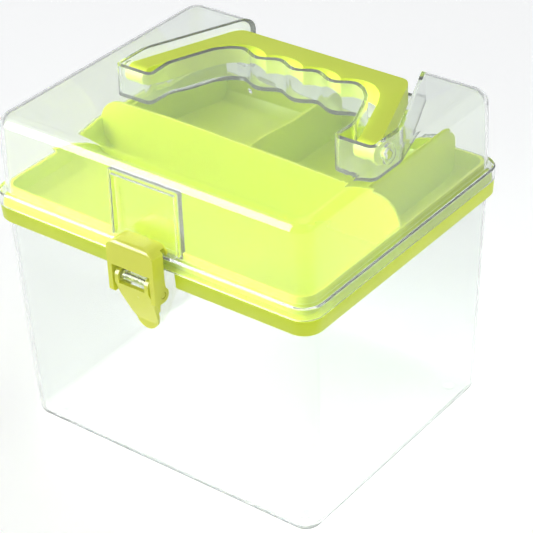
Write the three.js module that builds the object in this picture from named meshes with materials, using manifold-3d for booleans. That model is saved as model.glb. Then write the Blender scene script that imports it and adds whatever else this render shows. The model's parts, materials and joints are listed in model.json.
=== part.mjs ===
// Art supply box: a clear case with a green lift-out tray, a clear lid hinged at the back,
// a fold-down carrying handle let into the lid, and an over-centre latch at the front.
//
// Millimetres, +Z up. The origin is the middle of the underside; -Y is the latch side, +X is to
// the right of somebody who faces the latch. Every piece is drawn closed, with the handle down.

import * as THREE from 'three';
import { mergeVertices } from 'three/addons/utils/BufferGeometryUtils.js';
import Module from 'manifold-3d';

const wasm = await Module();
wasm.setup();

// ---------------------------------------------------------------- driving dimensions

const WIDTH = 220;               // over the lid flange, left to right
const DEPTH = 184;               // over the lid flange, front to back
const LID_SEAT = 145;            // height where the lid stands on the tray
const LID_HEIGHT = 55;           // from there to the top of the lid
const GAP = 0.3;                 // running or resting clearance between two pieces

const CASE_WALL = 2.0;           // clear case
const CASE_TAPER_X = 4.6;        // the case is narrower at its floor by this, each side
const CASE_TAPER_Y = 2.4;
const FLOOR_RADIUS = 3.5;        // rounding between the walls and the floor
const FOOT_HEIGHT = 0.8;
const FOOT_RADIUS = 4.0;
const FOOT_INSET = 14;

const TRAY_WALL = 1.8;
const TRAY_DROP = 10;            // height of the skirt that the tray hangs over the case
const SKIRT_PLAY = 1.5;          // inside of the skirt to the outside of the case
const SKIRT_DRAFT = 1.4;         // the skirt's lower edge is drawn in by this
const TRAY_PLAY = 0.5;           // the tray's basin stands this much more than GAP off the case
const TRAY_FLOOR_DROP = 7;       // underside of the tray's floor, below the lid seat
const TRAY_SLOPE = 6.5;          // the tray's floor is smaller than its rim by this, each side
const TRAY_RISE = 11;            // upright rim of the tray, above the lid seat
const RIDGE_Y = -2;              // cross wall between the front trough and the back row
const RIDGE_HEADROOM = 6.5;      // top of the cross wall to the lid's channel
const SHOULDER_RADIUS = 16;      // the cross wall's rounded ends
const SIDE_POCKET = 20;          // clear width of the two side pockets
const MIDDLE_WALL_X = 4;         // wall inside the back row
const VENT_RADIUS = 2;           // small round hole in the tray's back wall
const VENT_FROM_WALL = 18;       // and its distance from the left side pocket's wall

const LID_WALL = 2.0;
const FLANGE_HEIGHT = 8;         // lid rim band
const FLANGE_LIP = 3.2;          // how far the band stands out from the lid's wall
const CROWN_RADIUS = 8;          // rounding between the lid's walls and its top
const LID_TAPER = 0.8;           // the lid's walls lean in by this
const RIM_CORNER = 12;           // corner radius of the rim, seen from above

const PANEL_MARGIN = 5.5;        // the sunk panel in the lid's front is wider than the latch
const PANEL_DEPTH = 4.4;
const PANEL_BELOW_TOP = 10.5;

const POCKET_INSET = 23;         // outer wall of the pivot pockets, in from the lid flange
const POCKET_SIDE_GAP = 1.8;     // between that wall and the handle
const POCKET_ROOM = 7.6;         // between the handle and the pocket's inner wall
const POCKET_END_GAP = 3.75;     // in front of the handle's hub
const POCKET_BACK = 14;          // from the pivot to where the channel's outer wall slants
const CHANNEL_BACK_GAP = 1.5;    // beside the handle's back corners
const CHANNEL_RUN_OUT = 6;       // that gap is measured this far behind the handle
const UNDER_GRIP = 4.5;          // below the folded handle
const WAVE_GAP = 3;              // the finger waves of the lid to the handle's finger ridges
const WAVE_HEIGHT = 2.4;
const ISLAND_SHOULDER = 8.1;     // the island's corners lie this far in front of the waves
const FINGER_PITCH = 26;

const HANDLE_THICK = 12.5;
const HANDLE_SINK = 3;           // handle top below the lid top
const HANDLE_BACK_INSET = 18;    // from the back of the flange to the back of the handle
const HANDLE_REACH = 67;         // from the pivot to the back of the handle
const ARM_SLANT = 24.2;          // the arms close in by this on the way back
const ARM_WIDTH = 12.6;
const GRIP_DEPTH = 19.5;         // front to back at the finger ridges
const SCALLOP = 5.2;             // depth of each finger hollow
const HANDLE_CORNER = 4;
const HANDLE_PIN = 2.4;          // radius of the pivot stubs
const BOSS_WALL = 2.8;           // round each pivot hole

const FITTINGS_PROUD = 9.5;      // the latch and the hinge clips stand out from the flange
const LATCH_HALF = 16;           // half width of the hook
const LATCH_PLATE = 2.2;
const LEG_THICK = 3;             // hook's side plates
const LEG_PLAY = 1.5;            // between a side plate and the lever
const HOOD_THICK = 2.8;
const HOOD_PLAY = 0.6;           // between the hood and the lid's catch rib
const WINDOW_GAP = 2.8;          // between the hood's edge and the lever's eye
const LIP_THICK = 1.2;
const CATCH_INSET = 0.5;         // front of the catch rib, behind the front of the flange
const CATCH_THICK = 1.3;
const CATCH_HEIGHT = 3.3;
const BAR_DROP = 8;              // moulded bar of the case, the lever's pivot, below the lid seat
const BAR_RADIUS = 2.5;
const EYE_WALL = 1.4;
const LINK_FORWARD = 3;          // hook pivot, from the bar towards the case
const LINK_DOWN = 6.5;           // and down
const LINK_PIN = 1.7;
const LINK_WALL = 2.4;
const ARM_THICK = 2.6;           // lever's side arms
const ARM_LENGTH = 17.5;         // they run down behind the tongue
const TONGUE_LENGTH = 31.5;
const TONGUE_TIP_GAP = 0.7;      // behind the tongue's tip, to the case's rim
const TONGUE_TIP_HALF = 7.5;
const TONGUE_THICK = 2.2;
const LATCH_NOTCH_MARGIN = 6;    // the tray's skirt is cut away this far beside the latch

const HINGE_INSET = 50;          // two hinges, in from the sides of the flange
const HINGE_DROP = 9;            // their bars, below the lid seat
const HINGE_BAR = 2.0;
const CLIP_WALL = 2.3;
const CLIP_HALF = 8.2;
const CLIP_BITE = 0.8;           // the clip's mouth is narrower than the bar by this
const LUG_THICK = 2.5;
const LUG_WALL = 1.4;
const HINGE_NOTCH_MARGIN = 2;

const CORNER_STEPS = 6;
const ROUND_STEPS = 24;

// ---------------------------------------------------------------- sizes that follow

const HALF_X = WIDTH / 2;
const HALF_Y = DEPTH / 2;
const LID_TOP = LID_SEAT + LID_HEIGHT;
const CASE_INSET = GAP + TRAY_WALL + SKIRT_PLAY;
const CASE_X = HALF_X - CASE_INSET;
const CASE_Y = HALF_Y - CASE_INSET;
const CASE_CORNER = RIM_CORNER - 2;
const CASE_TOP = LID_SEAT - TRAY_WALL - GAP;

const BASIN_X = CASE_X - CASE_WALL - GAP - TRAY_PLAY;
const BASIN_Y = CASE_Y - CASE_WALL - GAP - TRAY_PLAY;
const BASIN_TOP = LID_SEAT + TRAY_RISE;
const BASIN_BOTTOM = LID_SEAT - TRAY_FLOOR_DROP;
const SIDE_WALL_X = BASIN_X - TRAY_WALL - SIDE_POCKET - TRAY_WALL / 2;

const FLANGE_BOTTOM = LID_SEAT + GAP;
const FLANGE_TOP = FLANGE_BOTTOM + FLANGE_HEIGHT;
const DOME_X = HALF_X - FLANGE_LIP;
const DOME_Y = HALF_Y - FLANGE_LIP;
const PANEL_HALF = LATCH_HALF + PANEL_MARGIN;

const HANDLE_TOP = LID_TOP - HANDLE_SINK;
const HANDLE_BOTTOM = HANDLE_TOP - HANDLE_THICK;
const RECESS_FLOOR = HANDLE_BOTTOM - UNDER_GRIP;
const RIDGE_TOP = RECESS_FLOOR - LID_WALL - RIDGE_HEADROOM;
const HANDLE_BACK_Y = HALF_Y - HANDLE_BACK_INSET;
const HANDLE_PIVOT_Y = HANDLE_BACK_Y - HANDLE_REACH;
const HANDLE_PIVOT_Z = HANDLE_TOP - HANDLE_THICK / 2;
const POCKET_OUTER_X = HALF_X - POCKET_INSET;
const HANDLE_OUTER_X = POCKET_OUTER_X - POCKET_SIDE_GAP;
const HANDLE_BACK_X = HANDLE_OUTER_X - ARM_SLANT;
const HANDLE_INNER_X = HANDLE_OUTER_X - ARM_WIDTH;
const POCKET_INNER_X = HANDLE_INNER_X - POCKET_ROOM;
const POCKET_FRONT_Y = HANDLE_PIVOT_Y - HANDLE_THICK / 2 - POCKET_END_GAP;
const PIVOT_BOSS = HANDLE_PIN + GAP + BOSS_WALL;
const GRIP_FRONT_Y = HANDLE_BACK_Y - GRIP_DEPTH;
const ARM_RUN = ARM_SLANT / (HANDLE_REACH - HANDLE_CORNER + 1);
const FINGERS = Math.floor((2 * armInnerX(GRIP_FRONT_Y)) / FINGER_PITCH);
const GRIP_HALF = (FINGERS * FINGER_PITCH) / 2;
const WAVE_Y = GRIP_FRONT_Y - WAVE_GAP - WAVE_HEIGHT;

const REACH_Y = HALF_Y + FITTINGS_PROUD;
const LEVER_EYE = BAR_RADIUS + GAP + EYE_WALL;
const LINK_EYE = LINK_PIN + GAP + LINK_WALL;
const LEVER_HALF = LATCH_HALF - LEG_THICK - LEG_PLAY;
const BAR_Y = -REACH_Y + LEVER_EYE;
const BAR_Z = LID_SEAT - BAR_DROP;
const LINK_Y = BAR_Y + LINK_FORWARD;
const LINK_Z = BAR_Z - LINK_DOWN;
const LEVER_LIP_Z = BAR_Z - BAR_RADIUS - 1;
const TONGUE_TIP_Z = LEVER_LIP_Z - TONGUE_LENGTH;
const TONGUE_TIP_Y = -(CASE_Y + TONGUE_TIP_GAP + TONGUE_THICK);
const HOOK_TOP = FLANGE_TOP + CATCH_HEIGHT + HOOD_PLAY + HOOD_THICK;
const HOOK_FOOT = LINK_Z - LINK_EYE;
const HOOD_EDGE = BAR_Z + LEVER_EYE + WINDOW_GAP;
const CATCH_FRONT = -(HALF_Y - CATCH_INSET);

const HINGE_X = HALF_X - HINGE_INSET;
const CLIP_RADIUS = HINGE_BAR + GAP + CLIP_WALL;
const HINGE_Y = REACH_Y - CLIP_RADIUS;
const HINGE_Z = LID_SEAT - HINGE_DROP;
const LUG_RADIUS = HINGE_BAR + LUG_WALL;
const LUG_INNER = CLIP_HALF + GAP;
const HINGE_NOTCH_HALF = LUG_INNER + LUG_THICK + HINGE_NOTCH_MARGIN;

// Inner side of the handle's right arm, at a place along the box.
function armInnerX(y) {
  return HANDLE_INNER_X - ARM_RUN * (y - HANDLE_PIVOT_Y);
}

// ---------------------------------------------------------------- building blocks

function toSolid(geometry) {
  const bare = geometry.clone();
  bare.deleteAttribute('normal');
  bare.deleteAttribute('uv');
  const merged = mergeVertices(bare, 1e-4);
  return new wasm.Manifold(new wasm.Mesh({
    numProp: 3,
    vertProperties: new Float32Array(merged.attributes.position.array),
    triVerts: new Uint32Array(merged.index.array),
  }));
}

function roundedRectangle(halfX, halfY, radius) {
  const shape = new THREE.Shape();
  shape.moveTo(halfX - radius, halfY);
  shape.absarc(-halfX + radius, halfY - radius, radius, Math.PI / 2, Math.PI);
  shape.absarc(-halfX + radius, -halfY + radius, radius, Math.PI, Math.PI * 1.5);
  shape.absarc(halfX - radius, -halfY + radius, radius, Math.PI * 1.5, Math.PI * 2);
  shape.absarc(halfX - radius, halfY - radius, radius, 0, Math.PI / 2);
  return shape;
}

// A rounded rectangle that changes size on its way up. levels: [z, halfX, halfY, corner radius].
function tower(levels) {
  const [, baseX, baseY, baseRadius] = levels[0];
  const geometry = new THREE.ExtrudeGeometry(roundedRectangle(baseX, baseY, baseRadius), {
    depth: levels.length - 1,
    steps: levels.length - 1,
    bevelEnabled: false,
    curveSegments: CORNER_STEPS,
  });
  const position = geometry.attributes.position;
  for (let i = 0; i < position.count; i += 1) {
    const [z, halfX, halfY, radius] = levels[Math.round(position.getZ(i))];
    const sideX = Math.sign(position.getX(i));
    const sideY = Math.sign(position.getY(i));
    const normalX = (position.getX(i) - sideX * (baseX - baseRadius)) / baseRadius;
    const normalY = (position.getY(i) - sideY * (baseY - baseRadius)) / baseRadius;
    position.setXYZ(
      i,
      sideX * (halfX - radius) + normalX * radius,
      sideY * (halfY - radius) + normalY * radius,
      z,
    );
  }
  return toSolid(geometry);
}

function extrude(points, depth, matrix, steps = ROUND_STEPS) {
  const shape = points instanceof THREE.Shape ? points : new THREE.Shape(points);
  const geometry = new THREE.ExtrudeGeometry(shape, { depth, bevelEnabled: false, curveSegments: steps });
  geometry.applyMatrix4(matrix);
  return toSolid(geometry);
}

// A plan outline (x, y) raised from z0 to z1.
function raise(points, z0, z1) {
  return extrude(points, z1 - z0, new THREE.Matrix4().makeTranslation(0, 0, z0));
}

// A side outline (y, z) run across from x0 to x1.
function across(points, x0, x1) {
  const axes = [new THREE.Vector3(0, 1, 0), new THREE.Vector3(0, 0, 1), new THREE.Vector3(1, 0, 0)];
  return extrude(points, x1 - x0, new THREE.Matrix4().makeBasis(...axes).setPosition(x0, 0, 0));
}

// A front outline (x, z) run back from y0 to y1.
function backwards(points, y0, y1) {
  const axes = [new THREE.Vector3(1, 0, 0), new THREE.Vector3(0, 0, 1), new THREE.Vector3(0, -1, 0)];
  return extrude(points, y1 - y0, new THREE.Matrix4().makeBasis(...axes).setPosition(0, y1, 0));
}

function block(x0, x1, y0, y1, z0, z1) {
  const geometry = new THREE.BoxGeometry(x1 - x0, y1 - y0, z1 - z0);
  geometry.translate((x0 + x1) / 2, (y0 + y1) / 2, (z0 + z1) / 2);
  return toSolid(geometry);
}

// A round bar along X.
function rod(radius, x0, x1, y, z, steps = ROUND_STEPS) {
  const geometry = new THREE.CylinderGeometry(radius, radius, x1 - x0, steps);
  geometry.rotateZ(Math.PI / 2);
  geometry.translate((x0 + x1) / 2, y, z);
  return toSolid(geometry);
}

function join(solids) {
  return solids.reduce((all, solid) => all.add(solid));
}

function cut(solid, tools) {
  return tools.reduce((left, tool) => left.subtract(tool), solid);
}

function point(x, y) {
  return new THREE.Vector2(x, y);
}

function arcPoints(centreX, centreY, radius, from, to, steps = 8) {
  const points = [];
  for (let i = 0; i <= steps; i += 1) {
    const angle = THREE.MathUtils.degToRad(from + ((to - from) * i) / steps);
    points.push(point(centreX + radius * Math.cos(angle), centreY + radius * Math.sin(angle)));
  }
  return points;
}

// The same outline with the corners rounded off.
function filleted(points, radius, steps = 4) {
  const out = [];
  points.forEach((corner, i) => {
    const before = points[(i + points.length - 1) % points.length];
    const after = points[(i + 1) % points.length];
    const reach = Math.min(radius, corner.distanceTo(before) / 2.1, corner.distanceTo(after) / 2.1);
    const start = corner.clone().lerp(before, reach / corner.distanceTo(before));
    const end = corner.clone().lerp(after, reach / corner.distanceTo(after));
    for (let k = 0; k <= steps; k += 1) {
      const t = k / steps;
      const a = start.clone().lerp(corner, t);
      const b = corner.clone().lerp(end, t);
      out.push(a.lerp(b, t));
    }
  });
  return out;
}

// A counter-clockwise outline moved outwards by a distance (inwards if it is negative).
function grown(points, distance) {
  return points.map((here, i) => {
    const before = points[(i + points.length - 1) % points.length];
    const after = points[(i + 1) % points.length];
    const into = here.clone().sub(before).normalize();
    const out = after.clone().sub(here).normalize();
    const normal = point(into.y + out.y, -(into.x + out.x)).normalize();
    const stretch = 1 / Math.max(0.5, normal.dot(point(into.y, -into.x)));
    return here.clone().addScaledVector(normal, distance * stretch);
  });
}

function mirrored(points) {
  return points.map((p) => point(-p.x, p.y)).reverse();
}

// ---------------------------------------------------------------- clear case

function caseBox() {
  const top = [CASE_TOP, CASE_X, CASE_Y, CASE_CORNER];
  const floorX = CASE_X - CASE_TAPER_X;
  const floorY = CASE_Y - CASE_TAPER_Y;
  const soft = 0.3 * FLOOR_RADIUS;
  const outside = tower([
    [FOOT_HEIGHT, floorX - FLOOR_RADIUS, floorY - FLOOR_RADIUS, CASE_CORNER - 2],
    [FOOT_HEIGHT + soft, floorX - soft, floorY - soft, CASE_CORNER - 1],
    [FOOT_HEIGHT + FLOOR_RADIUS, floorX, floorY, CASE_CORNER],
    top,
  ]);
  const insideFloor = FOOT_HEIGHT + CASE_WALL;
  const inside = tower([
    [insideFloor, floorX - FLOOR_RADIUS - CASE_WALL, floorY - FLOOR_RADIUS - CASE_WALL, CASE_CORNER - 4],
    [insideFloor + soft, floorX - soft - CASE_WALL, floorY - soft - CASE_WALL, CASE_CORNER - 3],
    [insideFloor + FLOOR_RADIUS, floorX - CASE_WALL, floorY - CASE_WALL, CASE_CORNER - CASE_WALL],
    [CASE_TOP + 1, CASE_X - CASE_WALL, CASE_Y - CASE_WALL, CASE_CORNER - CASE_WALL],
  ]);
  const shell = outside.subtract(inside);

  const feet = [];
  for (const x of [-1, 1]) {
    for (const y of [-1, 1]) {
      const pad = new THREE.CylinderGeometry(FOOT_RADIUS, FOOT_RADIUS, FOOT_HEIGHT + 1, 16);
      pad.rotateX(Math.PI / 2);
      pad.translate(x * (floorX - FOOT_INSET), y * (floorY - FOOT_INSET), (FOOT_HEIGHT + 1) / 2);
      feet.push(toSolid(pad));
    }
  }

  const wallAt = CASE_Y - CASE_WALL / 2;
  return join([shell, ...feet, latchBracket(wallAt), ...hingeLugs(wallAt)]);
}

// A web stands out of the front wall and ends in the round bar that the lever turns on.
function latchBracket(wallAt) {
  const webHalf = LEVER_HALF - ARM_THICK - GAP;
  const gusset = 6.5;
  const web = across([
    point(BAR_Y + gusset - 2, BAR_Z - BAR_RADIUS),
    point(BAR_Y, BAR_Z - BAR_RADIUS),
    point(BAR_Y, BAR_Z + BAR_RADIUS),
    point(-wallAt, BAR_Z + BAR_RADIUS),
    point(-wallAt, BAR_Z - BAR_RADIUS - gusset),
  ], -webHalf, webHalf);
  const barHalf = LEVER_HALF + GAP;
  return web.add(rod(BAR_RADIUS, -barHalf, barHalf, BAR_Y, BAR_Z));
}

// Two lugs and a bar at each hinge. The lid's clip turns on the bar between them.
function hingeLugs(wallAt) {
  return [-HINGE_X, HINGE_X].flatMap((x) => {
    const gusset = 9;
    const outline = [
      point(wallAt, HINGE_Z - gusset),
      ...arcPoints(HINGE_Y, HINGE_Z, LUG_RADIUS, -60, 90, 8),
      point(wallAt, HINGE_Z + LUG_RADIUS),
    ];
    return [
      across(outline, x - LUG_INNER - LUG_THICK, x - LUG_INNER),
      across(outline, x + LUG_INNER, x + LUG_INNER + LUG_THICK),
      rod(HINGE_BAR, x - LUG_INNER - 1, x + LUG_INNER + 1, HINGE_Y, HINGE_Z, 16),
    ];
  });
}

// ---------------------------------------------------------------- tray

function tray() {
  const plateX = HALF_X - GAP;
  const plateY = HALF_Y - GAP;
  const skirtBottom = LID_SEAT - TRAY_DROP;
  const innerDraft = TRAY_WALL + 0.6;
  const skirt = tower([
    [skirtBottom, plateX - SKIRT_DRAFT, plateY - SKIRT_DRAFT, RIM_CORNER - 1],
    [skirtBottom + 1.2, plateX - 0.5, plateY - 0.5, RIM_CORNER - 0.5],
    [LID_SEAT, plateX, plateY, RIM_CORNER - GAP],
  ]).subtract(tower([
    [skirtBottom - 1, plateX - innerDraft, plateY - innerDraft, RIM_CORNER - TRAY_WALL],
    [LID_SEAT - TRAY_WALL, plateX - TRAY_WALL, plateY - TRAY_WALL, RIM_CORNER - TRAY_WALL],
  ]));

  const basinCorner = CASE_CORNER - CASE_WALL;
  const floorSoft = 1.5;
  const nearFloor = 0.6 * TRAY_SLOPE;
  const basin = tower([
    [BASIN_BOTTOM, BASIN_X - TRAY_SLOPE, BASIN_Y - TRAY_SLOPE, basinCorner],
    [BASIN_BOTTOM + floorSoft, BASIN_X - nearFloor, BASIN_Y - nearFloor, basinCorner],
    [LID_SEAT - 1, BASIN_X, BASIN_Y, basinCorner],
    [BASIN_TOP, BASIN_X, BASIN_Y, basinCorner],
  ]);
  const inX = BASIN_X - TRAY_WALL;
  const inY = BASIN_Y - TRAY_WALL;
  const floorTop = BASIN_BOTTOM + TRAY_WALL;
  const hollow = tower([
    [floorTop, inX - TRAY_SLOPE, inY - TRAY_SLOPE, basinCorner - 1],
    [floorTop + floorSoft, inX - nearFloor, inY - nearFloor, basinCorner - 1],
    [LID_SEAT + 1, inX, inY, basinCorner - 1],
    [BASIN_TOP + 1, inX, inY, basinCorner - 1],
  ]);
  const shell = cut(skirt.add(basin).subtract(hollow), skirtNotches(skirtBottom));

  const ventX = -SIDE_WALL_X + VENT_FROM_WALL;
  const ventZ = BASIN_TOP - VENT_RADIUS - 5;
  const ventHole = arcPoints(ventX, ventZ, VENT_RADIUS, 0, 330, 11);
  const vent = backwards(ventHole, BASIN_Y - TRAY_WALL - 2, BASIN_Y + 2);
  const panelHalf = PANEL_HALF + LID_WALL + 1;
  const panelGap = block(
    -panelHalf, panelHalf,
    -BASIN_Y - 1, -BASIN_Y + TRAY_WALL + 1,
    FLANGE_TOP - LID_WALL - 2 * GAP, BASIN_TOP + 1,
  );
  return cut(join([shell, ...trayWalls()]), [vent, panelGap]);
}

// The skirt stops beside the latch and beside each hinge.
function skirtNotches(skirtBottom) {
  const clearOfCase = CASE_Y + 0.8;
  const latchHalf = LATCH_HALF + LATCH_NOTCH_MARGIN;
  return [
    block(-latchHalf, latchHalf, -HALF_Y - 1, -clearOfCase, skirtBottom - 1, LID_SEAT + 1),
    ...[-HINGE_X, HINGE_X].map((x) => block(
      x - HINGE_NOTCH_HALF, x + HINGE_NOTCH_HALF,
      clearOfCase, HALF_Y + 1,
      skirtBottom - 1, LID_SEAT + 1,
    )),
  ];
}

// The cross wall with its rounded shoulders, and the three walls that divide the back row.
function trayWalls() {
  const half = TRAY_WALL / 2;
  const bottom = BASIN_BOTTOM + half;
  const shoulderX = BASIN_X - SHOULDER_RADIUS - half;
  const shoulder = arcPoints(shoulderX, RIDGE_TOP - SHOULDER_RADIUS, SHOULDER_RADIUS, 0, 90, 8);
  const foot = BASIN_X - TRAY_SLOPE - TRAY_WALL + 0.3;
  const ridge = backwards([
    point(foot, bottom),
    point(BASIN_X - half, LID_SEAT),
    ...shoulder,
    ...mirrored(shoulder),
    point(-BASIN_X + half, LID_SEAT),
    point(-foot, bottom),
  ], RIDGE_Y - half, RIDGE_Y + half);

  const back = BASIN_Y - half;
  const ease = 10;
  const lengthways = [-SIDE_WALL_X, MIDDLE_WALL_X, SIDE_WALL_X].map((x) => across([
    point(RIDGE_Y, bottom),
    point(back - TRAY_SLOPE, bottom),
    point(back, LID_SEAT + 1),
    point(back, BASIN_TOP),
    ...arcPoints(back - ease, BASIN_TOP + 4, ease, 0, 90, 6).slice(1),
    point(RIDGE_Y, RIDGE_TOP - 0.8),
  ], x - half, x + half));
  return [ridge, ...lengthways];
}

// ---------------------------------------------------------------- lid

// Plan outline of the channel that the handle lies in, counter-clockwise, open at the back.
function channelOutline() {
  const slantFrom = HANDLE_PIVOT_Y + POCKET_BACK;
  const slantTo = HANDLE_BACK_Y + CHANNEL_RUN_OUT;
  const slant = (POCKET_OUTER_X - HANDLE_BACK_X - CHANNEL_BACK_GAP) / (slantTo - slantFrom);
  const farBack = HALF_Y + 10;
  const farBackX = POCKET_OUTER_X - slant * (farBack - slantFrom);
  const islandX = GRIP_HALF + 2;
  const rounding = 3;
  const rightSide = filleted([
    point(islandX - 5, WAVE_Y - WAVE_HEIGHT),
    point(islandX, WAVE_Y - ISLAND_SHOULDER),
    point(POCKET_INNER_X, HANDLE_PIVOT_Y + HANDLE_THICK / 2),
    point(POCKET_INNER_X - 1, POCKET_FRONT_Y),
    point(POCKET_OUTER_X, POCKET_FRONT_Y),
    point(POCKET_OUTER_X, slantFrom),
    point(farBackX, farBack),
    point(0, farBack),
  ], rounding, 3).slice(4, -7);

  const wave = [];
  const waveEnd = islandX - 7;
  const lastLobe = GRIP_HALF - FINGER_PITCH / 2;
  const steps = 30;
  for (let i = 0; i <= steps; i += 1) {
    const x = -waveEnd + (2 * waveEnd * i) / steps;
    wave.push(point(x, WAVE_Y + WAVE_HEIGHT * Math.cos((2 * Math.PI * (x - lastLobe)) / FINGER_PITCH)));
  }
  return [
    ...wave,
    ...rightSide,
    point(farBackX, farBack),
    point(-farBackX, farBack),
    ...mirrored(rightSide),
  ];
}

function lid() {
  const dome = (inset, bottom, drop) => {
    const levels = [[bottom, DOME_X - inset, DOME_Y - inset, RIM_CORNER - FLANGE_LIP - inset + 2]];
    const radius = CROWN_RADIUS - inset;
    const steps = 5;
    for (let i = 0; i <= steps; i += 1) {
      const angle = (Math.PI / 2) * (i / steps);
      const pull = inset + LID_TAPER + radius * (1 - Math.cos(angle));
      const corner = Math.max(2, RIM_CORNER - FLANGE_LIP + 2 - pull * 0.8);
      levels.push([LID_TOP - drop - radius * (1 - Math.sin(angle)), DOME_X - pull, DOME_Y - pull, corner]);
    }
    return tower(levels);
  };
  const channel = channelOutline();
  const panel = (grow) => block(
    -PANEL_HALF - grow, PANEL_HALF + grow,
    -HALF_Y, -DOME_Y + PANEL_DEPTH + grow,
    FLANGE_TOP - grow, LID_TOP - PANEL_BELOW_TOP + grow,
  );

  const outside = cut(dome(0, FLANGE_BOTTOM + 2, 0), [
    raise(channel, RECESS_FLOOR, LID_TOP + 5),
    panel(0),
  ]);
  const flange = tower([
    [FLANGE_BOTTOM, HALF_X, HALF_Y, RIM_CORNER],
    [FLANGE_TOP - 1, HALF_X, HALF_Y, RIM_CORNER],
    [FLANGE_TOP, HALF_X - 0.8, HALF_Y - 0.8, RIM_CORNER - 0.8],
  ]);
  const inside = cut(dome(LID_WALL, FLANGE_BOTTOM - 3, LID_WALL), [
    raise(grown(channel, LID_WALL), RECESS_FLOOR - LID_WALL, LID_TOP + 5),
    panel(LID_WALL),
  ]);
  const flangeHollow = tower([
    [FLANGE_BOTTOM - 1, HALF_X - LID_WALL, HALF_Y - LID_WALL, RIM_CORNER - LID_WALL],
    [FLANGE_TOP - LID_WALL, HALF_X - LID_WALL, HALF_Y - LID_WALL, RIM_CORNER - LID_WALL],
  ]);
  const panelFoot = block(
    -PANEL_HALF - LID_WALL, PANEL_HALF + LID_WALL,
    -HALF_Y + 1, -DOME_Y + PANEL_DEPTH + LID_WALL,
    FLANGE_TOP - LID_WALL, FLANGE_TOP,
  );
  const shell = cut(join([outside, flange]), [inside.add(flangeHollow).subtract(panelFoot)]);
  return cut(join([shell, catchRib(), ...hingeClips(), ...handleRests(), ...pivotBosses()]), pivotHoles());
}

// Upright rib on the flange that the hook's lip pulls down on.
function catchRib() {
  const half = LATCH_HALF - LEG_THICK - GAP - 0.4;
  const back = CATCH_FRONT + CATCH_THICK;
  return block(-half, half, CATCH_FRONT, back, FLANGE_TOP - 1, FLANGE_TOP + CATCH_HEIGHT);
}

// C-shaped arms that snap on the case's hinge bars.
function hingeClips() {
  const root = HALF_Y - 1;
  const mouthHalf = HINGE_BAR - CLIP_BITE / 2;
  return [-HINGE_X, HINGE_X].map((x) => {
    const arm = across([
      point(HINGE_Y - CLIP_RADIUS + 1.2, HINGE_Z),
      ...arcPoints(HINGE_Y, HINGE_Z, CLIP_RADIUS, -170, 0, 12),
      point(HINGE_Y + CLIP_RADIUS, HINGE_Z + 8),
      point(HINGE_Y, FLANGE_TOP - 1),
      point(root, FLANGE_TOP - 1),
      point(root, FLANGE_BOTTOM + 0.5),
      point(HINGE_Y - CLIP_RADIUS + 0.6, HINGE_Z + 6),
    ], x - CLIP_HALF, x + CLIP_HALF);
    const bore = rod(HINGE_BAR + GAP, x - CLIP_HALF - 1, x + CLIP_HALF + 1, HINGE_Y, HINGE_Z);
    const mouth = block(
      x - CLIP_HALF - 1, x + CLIP_HALF + 1,
      HINGE_Y - mouthHalf, HINGE_Y + mouthHalf,
      HINGE_Z - CLIP_RADIUS - 1, HINGE_Z,
    );
    return cut(arm, [bore, mouth]);
  });
}

// Two low pads on the channel floor hold the folded handle level.
function handleRests() {
  const half = 4;
  const x = HANDLE_BACK_X - 3 * half;
  const y = HANDLE_BACK_Y - 2 * half;
  return [-x, x].map((at) => block(
    at - half, at + half, y - half, y + half, RECESS_FLOOR - 1, HANDLE_BOTTOM - GAP,
  ));
}

// Round bosses behind the outer walls of the two pivot pockets.
function pivotBosses() {
  const wallOutside = POCKET_OUTER_X + LID_WALL;
  return [
    rod(PIVOT_BOSS, wallOutside - 0.5, wallOutside + 1.6, HANDLE_PIVOT_Y, HANDLE_PIVOT_Z),
    rod(PIVOT_BOSS, -wallOutside - 1.6, -wallOutside + 0.5, HANDLE_PIVOT_Y, HANDLE_PIVOT_Z),
  ];
}

function pivotHoles() {
  const radius = HANDLE_PIN + GAP;
  const from = POCKET_OUTER_X - 1;
  const to = POCKET_OUTER_X + LID_WALL + 3;
  return [
    rod(radius, from, to, HANDLE_PIVOT_Y, HANDLE_PIVOT_Z),
    rod(radius, -to, -from, HANDLE_PIVOT_Y, HANDLE_PIVOT_Z),
  ];
}

// ---------------------------------------------------------------- handle

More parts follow.
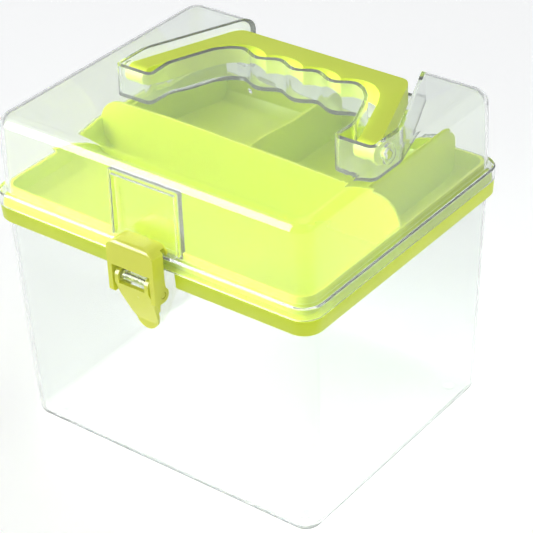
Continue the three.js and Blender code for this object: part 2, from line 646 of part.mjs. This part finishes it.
function handle() {
  const rightArm = [
    point(HANDLE_INNER_X, HANDLE_PIVOT_Y),
    point(HANDLE_OUTER_X, HANDLE_PIVOT_Y),
    ...filleted([
      point(HANDLE_OUTER_X, HANDLE_PIVOT_Y - 1),
      point(HANDLE_BACK_X, HANDLE_BACK_Y - HANDLE_CORNER),
      point(HANDLE_BACK_X - HANDLE_CORNER, HANDLE_BACK_Y),
      point(0, HANDLE_BACK_Y),
    ], HANDLE_CORNER, 3).slice(4, 12),
  ];

  const radius = ((FINGER_PITCH / 2) ** 2 + SCALLOP ** 2) / (2 * SCALLOP);
  const spread = THREE.MathUtils.radToDeg(Math.asin(FINGER_PITCH / 2 / radius));
  const hollowY = GRIP_FRONT_Y + SCALLOP - radius;
  const fingers = [];
  for (let finger = 0; finger < FINGERS; finger += 1) {
    const left = finger === 0 ? 0.55 : 1;
    const right = finger === FINGERS - 1 ? 0.55 : 1;
    const x = -GRIP_HALF + FINGER_PITCH * (finger + 0.5);
    fingers.push(...arcPoints(x, hollowY, radius, 90 + spread * left, 90 - spread * right));
  }

  const elbowY = GRIP_FRONT_Y - 12;
  const elbow = filleted([
    fingers[fingers.length - 1],
    point(GRIP_HALF + 2, GRIP_FRONT_Y - 2),
    point(armInnerX(elbowY), elbowY),
  ], 8, 3).slice(4, 8);
  const outline = [
    ...rightArm,
    ...mirrored(rightArm),
    point(-armInnerX(elbowY), elbowY),
    ...mirrored(elbow),
    ...fingers,
    ...elbow,
    point(armInnerX(elbowY), elbowY),
  ];
  const bow = raise(outline, HANDLE_BOTTOM, HANDLE_TOP);
  const hubs = [
    rod(HANDLE_THICK / 2, HANDLE_INNER_X, HANDLE_OUTER_X, HANDLE_PIVOT_Y, HANDLE_PIVOT_Z, 32),
    rod(HANDLE_THICK / 2, -HANDLE_OUTER_X, -HANDLE_INNER_X, HANDLE_PIVOT_Y, HANDLE_PIVOT_Z, 32),
  ];
  const stubEnd = POCKET_OUTER_X + LID_WALL + 1;
  const stubs = [
    rod(HANDLE_PIN, HANDLE_OUTER_X - 1, stubEnd, HANDLE_PIVOT_Y, HANDLE_PIVOT_Z),
    rod(HANDLE_PIN, -stubEnd, -HANDLE_OUTER_X + 1, HANDLE_PIVOT_Y, HANDLE_PIVOT_Z),
  ];
  return join([bow, ...hubs, ...stubs]);
}

// ---------------------------------------------------------------- latch

// The hook: a hood over the lid's rim with two side plates that come down past the lever.
function latchHook() {
  const lipFront = CATCH_FRONT + CATCH_THICK + GAP;
  const lipBack = lipFront + LIP_THICK;
  const underHood = HOOK_TOP - HOOD_THICK;
  const plateBack = -(HALF_Y + GAP + 0.4);
  const brow = 3.5;
  const side = [
    point(-REACH_Y + 1.5, HOOK_FOOT),
    ...arcPoints(LINK_Y, LINK_Z, LINK_EYE, -90, 60, 8),
    point(plateBack, LINK_Z + 2 * LINK_EYE),
    point(plateBack, underHood),
    point(lipFront, underHood),
    point(lipFront, FLANGE_TOP + GAP),
    point(lipBack, FLANGE_TOP + GAP),
    ...arcPoints(lipBack - 1.5, HOOK_TOP - 1.5, 1.5, 0, 90, 3),
    ...arcPoints(-REACH_Y + brow, HOOK_TOP - brow, brow, 90, 180, 5),
    point(-REACH_Y, HOOK_FOOT + 1.5),
  ];
  const below = HOOK_FOOT - 5;
  const archDrop = 4.6;
  const arch = [];
  for (let i = 0; i <= 16; i += 1) {
    const share = 1 - i / 8;
    arch.push(point(LATCH_HALF * share, HOOK_TOP + 0.2 - archDrop * share ** 4));
  }
  const front = backwards([
    point(LATCH_HALF, below),
    ...arch,
    point(-LATCH_HALF, below),
  ], -REACH_Y - 1, lipBack + 1);
  const body = across(side, -LATCH_HALF, LATCH_HALF).intersect(front);
  const legInside = LATCH_HALF - LEG_THICK;
  return cut(body, [
    block(-legInside, legInside, -REACH_Y + LATCH_PLATE, lipFront, below, underHood),
    block(-legInside, legInside, lipFront - 1, LINK_Y + LINK_EYE + 1, below, FLANGE_TOP + GAP),
    block(-legInside, legInside, -REACH_Y - 1, -REACH_Y + LATCH_PLATE + 1, below, HOOD_EDGE),
    rod(LINK_PIN + GAP, -LATCH_HALF - 1, LATCH_HALF + 1, LINK_Y, LINK_Z),
  ]);
}

// The lever: two arms with an eye on the case's bar, joined by the finger tongue below the window.
function latchLever() {
  const bend = TONGUE_TIP_Z + 5;
  const tongueSlope = (TONGUE_TIP_Y + REACH_Y) / (LEVER_LIP_Z - bend);
  const armFoot = LEVER_LIP_Z - ARM_LENGTH;
  const armFootY = -REACH_Y + tongueSlope * ARM_LENGTH;
  const tongue = across([
    point(-REACH_Y, LEVER_LIP_Z),
    point(TONGUE_TIP_Y, bend),
    point(TONGUE_TIP_Y, TONGUE_TIP_Z - 1),
    point(TONGUE_TIP_Y + TONGUE_THICK, TONGUE_TIP_Z - 1),
    point(TONGUE_TIP_Y + TONGUE_THICK, bend),
    point(-REACH_Y + TONGUE_THICK + 0.6, LEVER_LIP_Z),
  ], -LEVER_HALF, LEVER_HALF);
  const armOutline = [
    ...arcPoints(BAR_Y, BAR_Z, LEVER_EYE, 0, 180, 12),
    point(-REACH_Y, LEVER_LIP_Z),
    point(armFootY + 0.2, armFoot),
    point(armFootY + TONGUE_THICK + 1.5, armFoot),
    ...arcPoints(LINK_Y, LINK_Z, LINK_EYE - 0.8, -60, 10, 6),
  ];
  const inner = LEVER_HALF - ARM_THICK;
  const arms = [
    across(armOutline, inner, LEVER_HALF),
    across(armOutline, -LEVER_HALF, -inner),
  ];

  const waistZ = LEVER_LIP_Z - 9.5;
  const neckZ = TONGUE_TIP_Z + 10;
  const neckHalf = TONGUE_TIP_HALF + 1.5;
  const limits = backwards([
    point(LEVER_HALF, BAR_Z + LEVER_EYE + 1),
    point(-LEVER_HALF, BAR_Z + LEVER_EYE + 1),
    point(-LEVER_HALF, waistZ),
    point(-neckHalf, neckZ),
    ...arcPoints(0, TONGUE_TIP_Z + TONGUE_TIP_HALF, TONGUE_TIP_HALF, 190, 350, 12),
    point(neckHalf, neckZ),
    point(LEVER_HALF, waistZ),
  ], -REACH_Y - 1, LINK_Y + LINK_EYE + 1);
  const body = join([tongue, ...arms]).intersect(limits);
  const eye = rod(BAR_RADIUS + GAP, -LEVER_HALF - 1, LEVER_HALF + 1, BAR_Y, BAR_Z);
  const pinEnd = LATCH_HALF - GAP;
  const pins = [
    rod(LINK_PIN, inner + 0.5, pinEnd, LINK_Y, LINK_Z, 16),
    rod(LINK_PIN, -pinEnd, -inner - 0.5, LINK_Y, LINK_Z, 16),
  ];
  return join([cut(body, [eye]), ...pins]);
}

// ---------------------------------------------------------------- assembly

function material(color, roughness, opacity = 1) {
  return new THREE.MeshStandardMaterial({
    color, roughness, metalness: 0, opacity, transparent: opacity < 1,
  });
}

const clear = material(0xe6ecea, 0.12, 0.3);
const green = material(0xc6dc5a, 0.32);
const leaf = material(0xb9d150, 0.3);
const lime = material(0xdde85e, 0.32);

function piece(name, solid, finish) {
  const { vertProperties, triVerts } = solid.getMesh();
  const geometry = new THREE.BufferGeometry();
  geometry.setAttribute('position', new THREE.BufferAttribute(new Float32Array(vertProperties), 3));
  geometry.setIndex(new THREE.BufferAttribute(new Uint32Array(triVerts), 1));
  geometry.computeVertexNormals();
  const mesh = new THREE.Mesh(geometry, finish);
  mesh.name = name;
  return mesh;
}

const artBox = new THREE.Group();
artBox.add(
  piece('case_box', caseBox(), clear),
  piece('tray', tray(), green),
  piece('lid', lid(), clear),
  piece('handle', handle(), leaf),
  piece('latch_lever', latchLever(), lime),
  piece('latch_hook', latchHook(), lime),
);

export default artBox;
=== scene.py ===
# %% [markdown]
# # An art supply box in clear and green plastic
#
# The box is six injection mouldings: a clear case, a green tray that hangs on its rim, a clear
# hinged lid, a green handle let into the lid, and a green latch of a lever and a hook. The frame
# gives each moulding its true size and place. This lesson gives them rounded edges and the clear
# and coloured plastics. Everything is in metres, with the front at -Y.

# %% Load the frame
import json
import math

import bpy
from mathutils import Matrix, Vector

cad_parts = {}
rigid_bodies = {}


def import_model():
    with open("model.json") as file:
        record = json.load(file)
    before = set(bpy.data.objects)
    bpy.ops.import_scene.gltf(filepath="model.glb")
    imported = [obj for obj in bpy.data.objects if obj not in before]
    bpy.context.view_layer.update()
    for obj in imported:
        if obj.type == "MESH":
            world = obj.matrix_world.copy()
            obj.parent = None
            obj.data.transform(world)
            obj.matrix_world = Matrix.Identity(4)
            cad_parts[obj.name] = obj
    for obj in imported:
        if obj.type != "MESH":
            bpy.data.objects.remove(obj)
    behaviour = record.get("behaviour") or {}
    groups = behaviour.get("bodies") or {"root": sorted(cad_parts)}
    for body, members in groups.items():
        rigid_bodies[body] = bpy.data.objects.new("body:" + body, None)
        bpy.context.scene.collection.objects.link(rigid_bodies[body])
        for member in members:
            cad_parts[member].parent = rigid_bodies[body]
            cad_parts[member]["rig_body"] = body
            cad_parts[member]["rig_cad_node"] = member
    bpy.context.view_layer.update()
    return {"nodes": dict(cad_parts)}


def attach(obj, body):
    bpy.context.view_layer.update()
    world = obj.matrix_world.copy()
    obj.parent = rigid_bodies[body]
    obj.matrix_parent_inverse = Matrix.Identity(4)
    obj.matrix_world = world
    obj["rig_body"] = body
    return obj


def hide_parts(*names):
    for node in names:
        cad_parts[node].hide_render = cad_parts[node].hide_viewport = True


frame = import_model()
MM = 0.001

# %% [markdown]
# ## Working with operators
#
# An operator acts on all that is selected, so each step first selects just the piece it is meant
# for. In edit mode the whole mesh is then selected, so that each step acts on all of it.


# %% Selecting helpers
def only(piece):
    """Makes piece the one selected, active object."""
    bpy.ops.object.select_all(action="DESELECT")
    piece.select_set(True)
    bpy.context.view_layer.objects.active = piece


def edit(piece):
    """Opens piece in edit mode with everything selected."""
    only(piece)
    bpy.ops.object.mode_set(mode="EDIT")
    bpy.ops.mesh.select_all(action="SELECT")


def close():
    bpy.ops.object.mode_set(mode="OBJECT")


def apply(piece, modifier):
    only(piece)
    bpy.ops.object.modifier_apply(modifier=modifier.name)


# %% [markdown]
# ## From CAD solid to moulding
#
# The frame's solids are exact, but their faces are loose triangles and their edges are knife
# sharp. A moulding is softer: no tool cuts a perfectly sharp edge, and it is the small round that
# catches the light. A copy of each solid is merged and its flat faces are cleaned of the triangle
# lines. Then a Bevel modifier rounds what is sharper than the smooth corners. In clear plastic the
# rounds look white, because they gather light, so on the clear pieces they get a painted highlight:
# a whiter finish of their own that glows a little.

# %% A moulded piece from a CAD node
SMOOTH_ANGLE = math.radians(38)   # edges sharper than this are rounded
FLAT_ANGLE = math.radians(0.4)    # faces flatter than this to each other are one face
MERGE = 1e-6


def moulded(node, name, body, finish, edge_round, edge_highlight_finish=None, segments=2):
    """A merged copy of a CAD node with rounded edges, riding on body."""
    piece = frame["nodes"][node].copy()
    piece.data = frame["nodes"][node].data.copy()
    bpy.context.scene.collection.objects.link(piece)
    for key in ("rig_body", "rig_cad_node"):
        del piece[key]
    piece.parent = None
    piece.name = piece.data.name = name
    edit(piece)
    bpy.ops.mesh.remove_doubles(threshold=MERGE)
    bpy.ops.mesh.dissolve_limited(angle_limit=FLAT_ANGLE)
    close()
    bpy.ops.mesh.customdata_custom_splitnormals_clear()
    piece.data.materials.clear()
    piece.data.materials.append(finish)
    # The edge finish, where given, is a painted highlight: the rounds are whiter and glow a little.
    if edge_highlight_finish is not None:
        piece.data.materials.append(edge_highlight_finish)
    bpy.ops.object.shade_smooth_by_angle(angle=SMOOTH_ANGLE)
    bevel = piece.modifiers.new("Moulded edges", "BEVEL")
    bevel.width = edge_round
    bevel.segments = segments
    bevel.limit_method = "ANGLE"
    bevel.angle_limit = SMOOTH_ANGLE
    bevel.harden_normals = True
    bevel.material = 1 if edge_highlight_finish is not None else -1
    apply(piece, bevel)
    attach(piece, body)
    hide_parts(node)
    print(name, len(piece.data.polygons), "faces")
    return piece


# %% [markdown]
# ## Clear plastic
#
# Polypropylene is clear but never quite like glass: it has a little haze and a faint waviness from
# the mould. The shader is a glassy Principled with a small share of white haze. Lamps can't reach
# through a refracting wall without a great deal of sampling, so for shadow rays only the wall
# counts as plain transparent. The rounded edges get a painted highlight: a whiter, less clear finish
# that glows a little, in place of the light a clear wall's edge gathers from all of the wall.


# %% Small node helpers
def new_finish(name):
    """An empty node material, its node tree and its output."""
    finish = bpy.data.materials.new(name)
    finish.use_nodes = True
    tree = finish.node_tree
    tree.nodes.clear()
    return finish, tree, tree.nodes.new("ShaderNodeOutputMaterial")


def noise(tree, scale, detail=2.0):
    """Noise in the object's own coordinates. scale is in waves to the metre."""
    place = tree.nodes.new("ShaderNodeTexCoord")
    pattern = tree.nodes.new("ShaderNodeTexNoise")
    pattern.inputs["Scale"].default_value = scale
    pattern.inputs["Detail"].default_value = detail
    tree.links.new(place.outputs["Object"], pattern.inputs["Vector"])
    return pattern.outputs["Fac"]


def ramp(tree, value, low, high, start=0.3, end=0.7):
    """Runs from colour low to colour high as value goes from start to end."""
    stops = tree.nodes.new("ShaderNodeValToRGB")
    stops.color_ramp.elements[0].position = start
    stops.color_ramp.elements[1].position = end
    stops.color_ramp.elements[0].color = (*low, 1)
    stops.color_ramp.elements[1].color = (*high, 1)
    tree.links.new(value, stops.inputs["Fac"])
    return stops.outputs["Color"]


def spread(tree, value, low, high):
    """value from 0..1 spread over low..high."""
    remap = tree.nodes.new("ShaderNodeMapRange")
    remap.inputs["To Min"].default_value = low
    remap.inputs["To Max"].default_value = high
    tree.links.new(value, remap.inputs["Value"])
    return remap.outputs["Result"]


def bump(tree, height, strength, distance):
    node = tree.nodes.new("ShaderNodeBump")
    node.inputs["Strength"].default_value = strength
    node.inputs["Distance"].default_value = distance
    tree.links.new(height, node.inputs["Height"])
    return node.outputs["Normal"]


# %% Clear finishes
PLASTIC_IOR = 1.46
SHADOW_TINT = (0.93, 0.96, 0.95, 1)     # what a wall lets through of a lamp's light
EDGE_LIGHT = (0.93, 1.0, 0.95, 1)


def clear_finish(name, tint_low, tint_high, clearness, rough_low, rough_high, wave, glow=0.0):
    finish, tree, output = new_finish(name)
    wall = tree.nodes.new("ShaderNodeBsdfPrincipled")
    wall.inputs["IOR"].default_value = PLASTIC_IOR
    wall.inputs["Transmission Weight"].default_value = clearness
    wall.inputs["Emission Color"].default_value = EDGE_LIGHT
    wall.inputs["Emission Strength"].default_value = glow
    cloud = noise(tree, 14.0)
    tree.links.new(ramp(tree, cloud, tint_low, tint_high), wall.inputs["Base Color"])
    tree.links.new(spread(tree, noise(tree, 60.0), rough_low, rough_high), wall.inputs["Roughness"])
    tree.links.new(bump(tree, noise(tree, 35.0, 1.0), 0.25, wave), wall.inputs["Normal"])
    lamp_side = tree.nodes.new("ShaderNodeBsdfTransparent")
    lamp_side.inputs["Color"].default_value = SHADOW_TINT
    rays = tree.nodes.new("ShaderNodeLightPath")
    mix = tree.nodes.new("ShaderNodeMixShader")
    tree.links.new(rays.outputs["Is Shadow Ray"], mix.inputs["Fac"])
    tree.links.new(wall.outputs["BSDF"], mix.inputs[1])
    tree.links.new(lamp_side.outputs["BSDF"], mix.inputs[2])
    tree.links.new(mix.outputs["Shader"], output.inputs["Surface"])
    return finish


CASE_TINT = ((0.945, 0.965, 0.958), (0.965, 0.98, 0.974))
LID_TINT = ((0.955, 0.975, 0.965), (0.975, 0.99, 0.982))
# Painted highlight for the rounded edges: a whiter tint, little clearness and a glow, in place of the
# light an edge gathers.
EDGE_HIGHLIGHT_TINT = ((0.93, 0.97, 0.94), (0.96, 1.0, 0.97))
clear_case = clear_finish("clear_case", *CASE_TINT, 0.90, 0.03, 0.07, 0.0002)
clear_lid = clear_finish("clear_lid", *LID_TINT, 0.94, 0.015, 0.04, 0.0001)
glowing_white_edge = clear_finish("glowing_white_edge", *EDGE_HIGHLIGHT_TINT, 0.1, 0.2, 0.3, 0.0001, glow=0.7)
glowing_soft_edge = clear_finish("glowing_soft_edge", *EDGE_HIGHLIGHT_TINT, 0.5, 0.2, 0.3, 0.0001, glow=0.3)

# %% [markdown]
# ## Green plastics
#
# The tray, handle and latch are coloured polypropylene. It is slightly see-through, so light
# sinks in and comes back warmer: a little subsurface scattering does that. The colour drifts a
# touch with the flow of the plastic, and a fine bump and uneven gloss come from the mould.


# %% Green finishes
GREEN_IOR = 1.49
LIGHT_REACH = (0.9, 1.0, 0.25)    # how far red, green and blue light sink in, as shares of LIGHT_DEPTH
LIGHT_DEPTH = 4 * MM


def green_finish(name, shade_low, shade_high, rough_low, rough_high, glow):
    finish, tree, output = new_finish(name)
    body = tree.nodes.new("ShaderNodeBsdfPrincipled")
    body.inputs["IOR"].default_value = GREEN_IOR
    body.inputs["Subsurface Weight"].default_value = glow
    body.inputs["Subsurface Radius"].default_value = LIGHT_REACH
    body.inputs["Subsurface Scale"].default_value = LIGHT_DEPTH
    tree.links.new(ramp(tree, noise(tree, 18.0), shade_low, shade_high), body.inputs["Base Color"])
    tree.links.new(spread(tree, noise(tree, 90.0), rough_low, rough_high), body.inputs["Roughness"])
    tree.links.new(bump(tree, noise(tree, 900.0, 3.0), 0.12, 0.0001), body.inputs["Normal"])
    tree.links.new(body.outputs["BSDF"], output.inputs["Surface"])
    return finish


tray_green = green_finish("tray_green", (0.64, 0.78, 0.010), (0.70, 0.83, 0.018), 0.30, 0.42, 0.3)
handle_green = green_finish("handle_green", (0.74, 0.88, 0.08), (0.80, 0.93, 0.10), 0.28, 0.4, 0.2)
latch_green = green_finish("latch_green", (0.80, 0.84, 0.07), (0.86, 0.90, 0.09), 0.2, 0.3, 0.25)

# %% [markdown]
# ## The six mouldings
#
# Each piece is made once from its solid and rides on its own body. The handle and the hook are
# thick and get a wider, finer round than the thin walls of the case, tray and lid.

# %% The six mouldings
# The rounds of the case and lid take the glowing edge finish, a painted highlight.
case = moulded("case_box", "clear_case", "case", clear_case, 0.5 * MM, glowing_soft_edge)
tray = moulded("tray", "green_tray", "tray", tray_green, 0.45 * MM)
lid = moulded("lid", "clear_lid", "lid", clear_lid, 0.4 * MM, glowing_white_edge)
handle = moulded("handle", "carry_handle", "handle", handle_green, 0.8 * MM, segments=3)
lever = moulded("latch_lever", "catch_lever", "latch_lever", latch_green, 0.4 * MM)
hook = moulded("latch_hook", "catch_hook", "latch_hook", latch_green, 0.6 * MM, segments=3)

# %% [markdown]
# ## Floor
#
# The box stands on a pale floor that gives a little light of its own, so that it stays white round
# the box and seen through it.

# %% Floor
FLOOR_WIDTH = 12
bpy.ops.mesh.primitive_plane_add(size=FLOOR_WIDTH, location=(0, 0, 0))
floor = bpy.context.object
floor.name = "floor"
floor_finish, tree, output = new_finish("pale_floor")
paper = tree.nodes.new("ShaderNodeBsdfPrincipled")
paper.inputs["Base Color"].default_value = (0.9, 0.9, 0.9, 1)
paper.inputs["Roughness"].default_value = 0.9
paper.inputs["Emission Color"].default_value = (1, 1, 1, 1)
paper.inputs["Emission Strength"].default_value = 0.33
tree.links.new(paper.outputs["BSDF"], output.inputs["Surface"])
floor.data.materials.append(floor_finish)

# %% [markdown]
# ## Light
#
# Clear plastic shows only what it mirrors and bends, so the light is a few big soft boxes and a
# bright, even room. The low one in front on the left is there for what mirrors it: it draws a
# stripe along the lid's rounded front edge, and it is hidden from matt and see-through surfaces.


# %% Soft boxes
AIM = Vector((0, 0, 0.12))        # about the middle of the box


def soft_box(name, direction, distance, width, height, power, only_mirrored=False):
    """A rectangular lamp that shines at the box from a direction, or is only seen mirrored in it."""
    data = bpy.data.lights.new(name, "AREA")
    data.shape = "RECTANGLE"
    data.size = width
    data.size_y = height
    data.energy = power
    lamp = bpy.data.objects.new(name, data)
    bpy.context.scene.collection.objects.link(lamp)
    lamp.location = AIM + Vector(direction).normalized() * distance
    lamp.rotation_euler = (AIM - lamp.location).to_track_quat("-Z", "Y").to_euler()
    if only_mirrored:
        lamp.visible_diffuse = lamp.visible_transmission = False
    return lamp


soft_box("stripe_box", (-0.55, -0.78, 0.36), 1.2, 0.7, 0.9, 32, only_mirrored=True)
soft_box("front_left_box", (-0.62, -0.5, 0.60), 1.4, 0.8, 0.8, 2.5)
soft_box("top_box", (0.1, 0.25, 1.0), 1.6, 1.4, 1.4, 4)
soft_box("right_box", (0.9, 0.1, 0.5), 1.6, 0.7, 0.9, 1.2)

world = bpy.data.worlds.new("studio")
bpy.context.scene.world = world
world.use_nodes = True
world.node_tree.nodes["Background"].inputs["Color"].default_value = (0.93, 0.95, 0.97, 1)
world.node_tree.nodes["Background"].inputs["Strength"].default_value = 0.5

# %% [markdown]
# ## Camera
#
# The camera looks down on the box from the front right with a long lens, a little turned about its
# own axis. The plain "Standard" view keeps the whites white and the greens as strong as they are.

# %% Camera
CAMERA_AT = Vector((0.5997, -0.7411, 0.7053))
AZIMUTH, ELEVATION, ROLL = map(math.radians, (38.436, 32.777, -2.46))
camera = bpy.data.objects.new("camera", bpy.data.cameras.new("camera"))
bpy.context.scene.collection.objects.link(camera)
forward = Vector((
    -math.sin(AZIMUTH) * math.cos(ELEVATION),
    math.cos(AZIMUTH) * math.cos(ELEVATION),
    -math.sin(ELEVATION),
))
right = Vector((math.cos(AZIMUTH), math.sin(AZIMUTH), 0))
up = right.cross(forward)
rolled_right = right * math.cos(ROLL) + up * math.sin(ROLL)
rolled_up = up * math.cos(ROLL) - right * math.sin(ROLL)
turn = Matrix((rolled_right, rolled_up, -forward)).transposed().to_4x4()
camera.matrix_world = Matrix.Translation(CAMERA_AT) @ turn
camera.data.sensor_width = 36
camera.data.lens = 133.59
camera.data.shift_x = -0.0016
camera.data.shift_y = 0.0017
bpy.context.scene.camera = camera
bpy.context.scene.view_settings.view_transform = "Standard"

# %% [markdown]
# ## Sizes
#
# A round on an outer edge only takes material away, so the box over all is still the frame's own.

# %% Sizes, and the end
bpy.context.view_layer.update()
